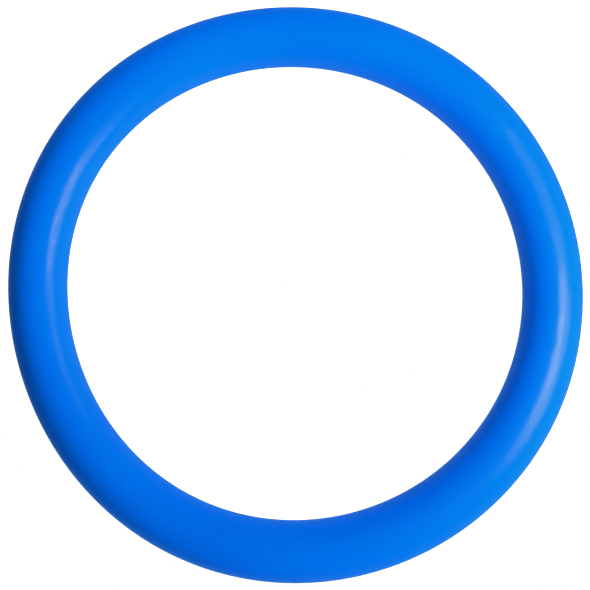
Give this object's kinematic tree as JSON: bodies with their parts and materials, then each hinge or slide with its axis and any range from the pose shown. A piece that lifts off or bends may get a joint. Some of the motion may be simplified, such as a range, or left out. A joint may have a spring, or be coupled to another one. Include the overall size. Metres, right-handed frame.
{
  "type": "flying ring",
  "caption": "Soft round flying ring to throw and catch, with a smooth tubular skin closed from half shells over a bent foam core.",
  "frame": {"origin": "centre of the ring, on the plane of the narrow land that it lies on", "axes": "+Z along the ring's axis, up from the land; +X and +Y lie in the ring's plane, with the foam core's joint at 135 degrees from +X towards +Y"},
  "size_m": [0.24, 0.24, 0.0247],
  "materials": {
    "skin_plastic": "satin",
    "core_foam": "matte",
    "plug_plastic": "satin"
  },
  "bodies": {
    "root": {"upper_shell": "skin_plastic", "lower_shell": "skin_plastic", "foam_core": "core_foam", "core_joining_plug": "plug_plastic"}
  },
  "joints": []
}
